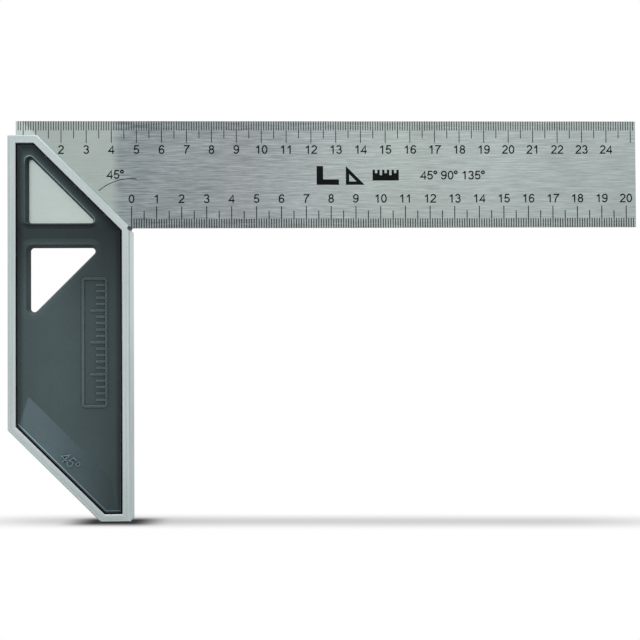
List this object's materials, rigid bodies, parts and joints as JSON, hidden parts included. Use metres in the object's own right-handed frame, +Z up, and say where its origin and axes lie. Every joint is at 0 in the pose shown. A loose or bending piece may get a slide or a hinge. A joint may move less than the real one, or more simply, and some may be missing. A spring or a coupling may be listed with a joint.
{
  "type": "try and mitre square",
  "caption": "L-shaped steel square rule: flat graduated blade fixed at 90 degrees in a cast stock with a 45 degree mitre face, dark moulded side panels and triangular windows.",
  "frame": {"origin": "inner corner of the square: the stock's inner face meets the blade's lower edge, at the blade's mid-thickness", "axes": "+X along the blade away from the stock, +Y through the thickness from the front face to the back face, +Z up, from the stock's foot to the blade"},
  "size_m": [0.252, 0.012, 0.1595],
  "materials": {
    "blade": "stainless steel, fine brushing along the blade",
    "stock": "satin cast aluminium, ground faces",
    "panel": "dark blue-grey moulded plastic with a fine spark texture",
    "rivet": "bright steel",
    "scale_marks": "black etched and filled marks"
  },
  "bodies": {
    "root": {"blade": "blade", "stock_frame": "stock", "front_panel": "panel", "rear_panel": "panel", "rivet_upper": "rivet", "rivet_middle": "rivet", "rivet_lower": "rivet"}
  },
  "joints": []
}
